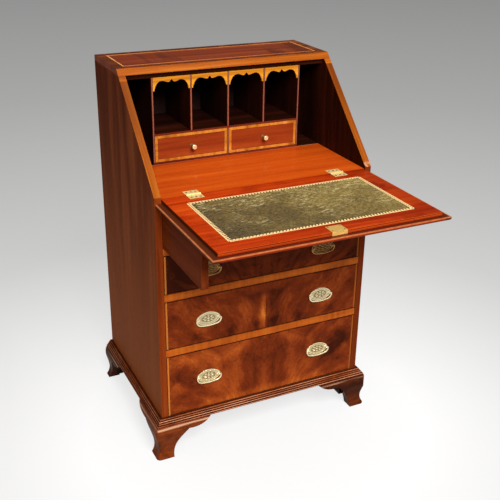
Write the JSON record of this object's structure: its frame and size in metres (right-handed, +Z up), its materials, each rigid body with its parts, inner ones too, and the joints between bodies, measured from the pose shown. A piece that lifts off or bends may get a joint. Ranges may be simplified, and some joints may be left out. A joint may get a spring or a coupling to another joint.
{
  "type": "writing bureau",
  "caption": "Small mahogany slope-front writing bureau with a leather-lined fall on pull-out lopers, pigeonholes, graduated drawers and ogee bracket feet.",
  "frame": {"origin": "on the floor, under the middle of the open bureau, its fall and left loper drawn out", "axes": "+Z up, +X to the right as seen from the front, the front faces -Y"},
  "size_m": [0.658, 0.7981, 1.006],
  "materials": {
    "mahogany": "French polished, worn at the edges",
    "flame_mahogany": "flame veneer, French polished",
    "banded_mahogany": "plain veneer with a light crossbanded border",
    "satinwood": "polished veneer",
    "boxwood": "polished line",
    "oak": "bare, darkened with age",
    "pine": "bare, darkened with age",
    "brass": "polished, rubbed",
    "steel": "plain",
    "leather": "worn hide with a gold-tooled border"
  },
  "bodies": {
    "carcass": {"back_boards": "pine", "back_left_foot": "mahogany", "back_right_foot": "mahogany", "base_moulding": "mahogany", "bed_hinge_leaves": "brass", "bed_hinge_screws": "brass", "carcass_bottom": "pine", "drawer_runners": "oak", "fall_stop_rail": "mahogany", "front_left_foot": "mahogany", "front_right_foot": "mahogany", "hinge_pins": "steel", "left_side": "mahogany", "loper_partitions": "mahogany", "loper_rail": "mahogany", "lower_rail": "mahogany", "pigeonhole_boards": "mahogany", "pigeonhole_uprights": "mahogany", "pigeonhole_valances": "satinwood", "right_side": "mahogany", "slope_bands": "satinwood", "top_board": "mahogany", "top_stringing": "boxwood", "upper_rail": "mahogany", "writing_bed": "mahogany"},
    "fall": {"fall_panel": "mahogany", "writing_leather": "leather", "fall_hinge_leaves": "brass", "fall_hinge_screws": "brass", "fall_lock": "brass"},
    "fall_lock_bolt": {"fall_lock_bolt": "brass"},
    "left_loper": {"left_loper": "mahogany"},
    "right_loper": {"right_loper": "mahogany"},
    "top_drawer": {"top_drawer_front": "flame_mahogany", "top_drawer_box": "oak", "top_drawer_brasses": "brass"},
    "top_left_bail": {"top_left_bail": "brass"},
    "top_right_bail": {"top_right_bail": "brass"},
    "second_drawer": {"second_drawer_front": "flame_mahogany", "second_drawer_box": "oak", "second_drawer_brasses": "brass"},
    "second_left_bail": {"second_left_bail": "brass"},
    "second_right_bail": {"second_right_bail": "brass"},
    "third_drawer": {"third_drawer_front": "flame_mahogany", "third_drawer_box": "oak", "third_drawer_brasses": "brass"},
    "third_left_bail": {"third_left_bail": "brass"},
    "third_right_bail": {"third_right_bail": "brass"},
    "bottom_drawer": {"bottom_drawer_front": "flame_mahogany", "bottom_drawer_box": "oak", "bottom_drawer_brasses": "brass"},
    "bottom_left_bail": {"bottom_left_bail": "brass"},
    "bottom_right_bail": {"bottom_right_bail": "brass"},
    "left_small_drawer": {"left_small_drawer_front": "banded_mahogany", "left_small_drawer_box": "oak", "left_small_drawer_knob": "brass"},
    "right_small_drawer": {"right_small_drawer_front": "banded_mahogany", "right_small_drawer_box": "oak", "right_small_drawer_knob": "brass"}
  },
  "joints": [
    {"name": "fall_hinge", "type": "hinge", "parent": "carcass", "child": "fall", "pos_m": [0, -0.04699, 0.744], "axis": [1, 0, 0], "range_deg": [-135, 0]},
    {"name": "fall_lock_slide", "type": "slide", "parent": "fall", "child": "fall_lock_bolt", "axis": [0, -1, 0], "range_m": [0, 0.011]},
    {"name": "left_loper_slide", "type": "slide", "parent": "carcass", "child": "left_loper", "axis": [0, -1, 0], "range_m": [-0.246, 0]},
    {"name": "right_loper_slide", "type": "slide", "parent": "carcass", "child": "right_loper", "axis": [0, -1, 0], "range_m": [0, 0.246]},
    {"name": "top_drawer_slide", "type": "slide", "parent": "carcass", "child": "top_drawer", "axis": [0, -1, 0], "range_m": [0, 0.28]},
    {"name": "top_left_bail_hinge", "type": "hinge", "parent": "top_drawer", "child": "top_left_bail", "pos_m": [-0.168, -0.059, 0.67125], "axis": [-1, 0, 0], "range_deg": [0, 90]},
    {"name": "top_right_bail_hinge", "type": "hinge", "parent": "top_drawer", "child": "top_right_bail", "pos_m": [0.168, -0.059, 0.67125], "axis": [-1, 0, 0], "range_deg": [0, 90]},
    {"name": "second_drawer_slide", "type": "slide", "parent": "carcass", "child": "second_drawer", "axis": [0, -1, 0], "range_m": [0, 0.28]},
    {"name": "second_left_bail_hinge", "type": "hinge", "parent": "second_drawer", "child": "second_left_bail", "pos_m": [-0.168, -0.059, 0.5415], "axis": [-1, 0, 0], "range_deg": [0, 90]},
    {"name": "second_right_bail_hinge", "type": "hinge", "parent": "second_drawer", "child": "second_right_bail", "pos_m": [0.168, -0.059, 0.5415], "axis": [-1, 0, 0], "range_deg": [0, 90]},
    {"name": "third_drawer_slide", "type": "slide", "parent": "carcass", "child": "third_drawer", "axis": [0, -1, 0], "range_m": [0, 0.28]},
    {"name": "third_left_bail_hinge", "type": "hinge", "parent": "third_drawer", "child": "third_left_bail", "pos_m": [-0.168, -0.059, 0.396], "axis": [-1, 0, 0], "range_deg": [0, 90]},
    {"name": "third_right_bail_hinge", "type": "hinge", "parent": "third_drawer", "child": "third_right_bail", "pos_m": [0.168, -0.059, 0.396], "axis": [-1, 0, 0], "range_deg": [0, 90]},
    {"name": "bottom_drawer_slide", "type": "slide", "parent": "carcass", "child": "bottom_drawer", "axis": [0, -1, 0], "range_m": [0, 0.28]},
    {"name": "bottom_left_bail_hinge", "type": "hinge", "parent": "bottom_drawer", "child": "bottom_left_bail", "pos_m": [-0.168, -0.059, 0.22], "axis": [-1, 0, 0], "range_deg": [0, 90]},
    {"name": "bottom_right_bail_hinge", "type": "hinge", "parent": "bottom_drawer", "child": "bottom_right_bail", "pos_m": [0.168, -0.059, 0.22], "axis": [-1, 0, 0], "range_deg": [0, 90]},
    {"name": "left_small_drawer_slide", "type": "slide", "parent": "carcass", "child": "left_small_drawer", "axis": [0, -1, 0], "range_m": [0, 0.14]},
    {"name": "right_small_drawer_slide", "type": "slide", "parent": "carcass", "child": "right_small_drawer", "axis": [0, -1, 0], "range_m": [0, 0.14]}
  ]
}
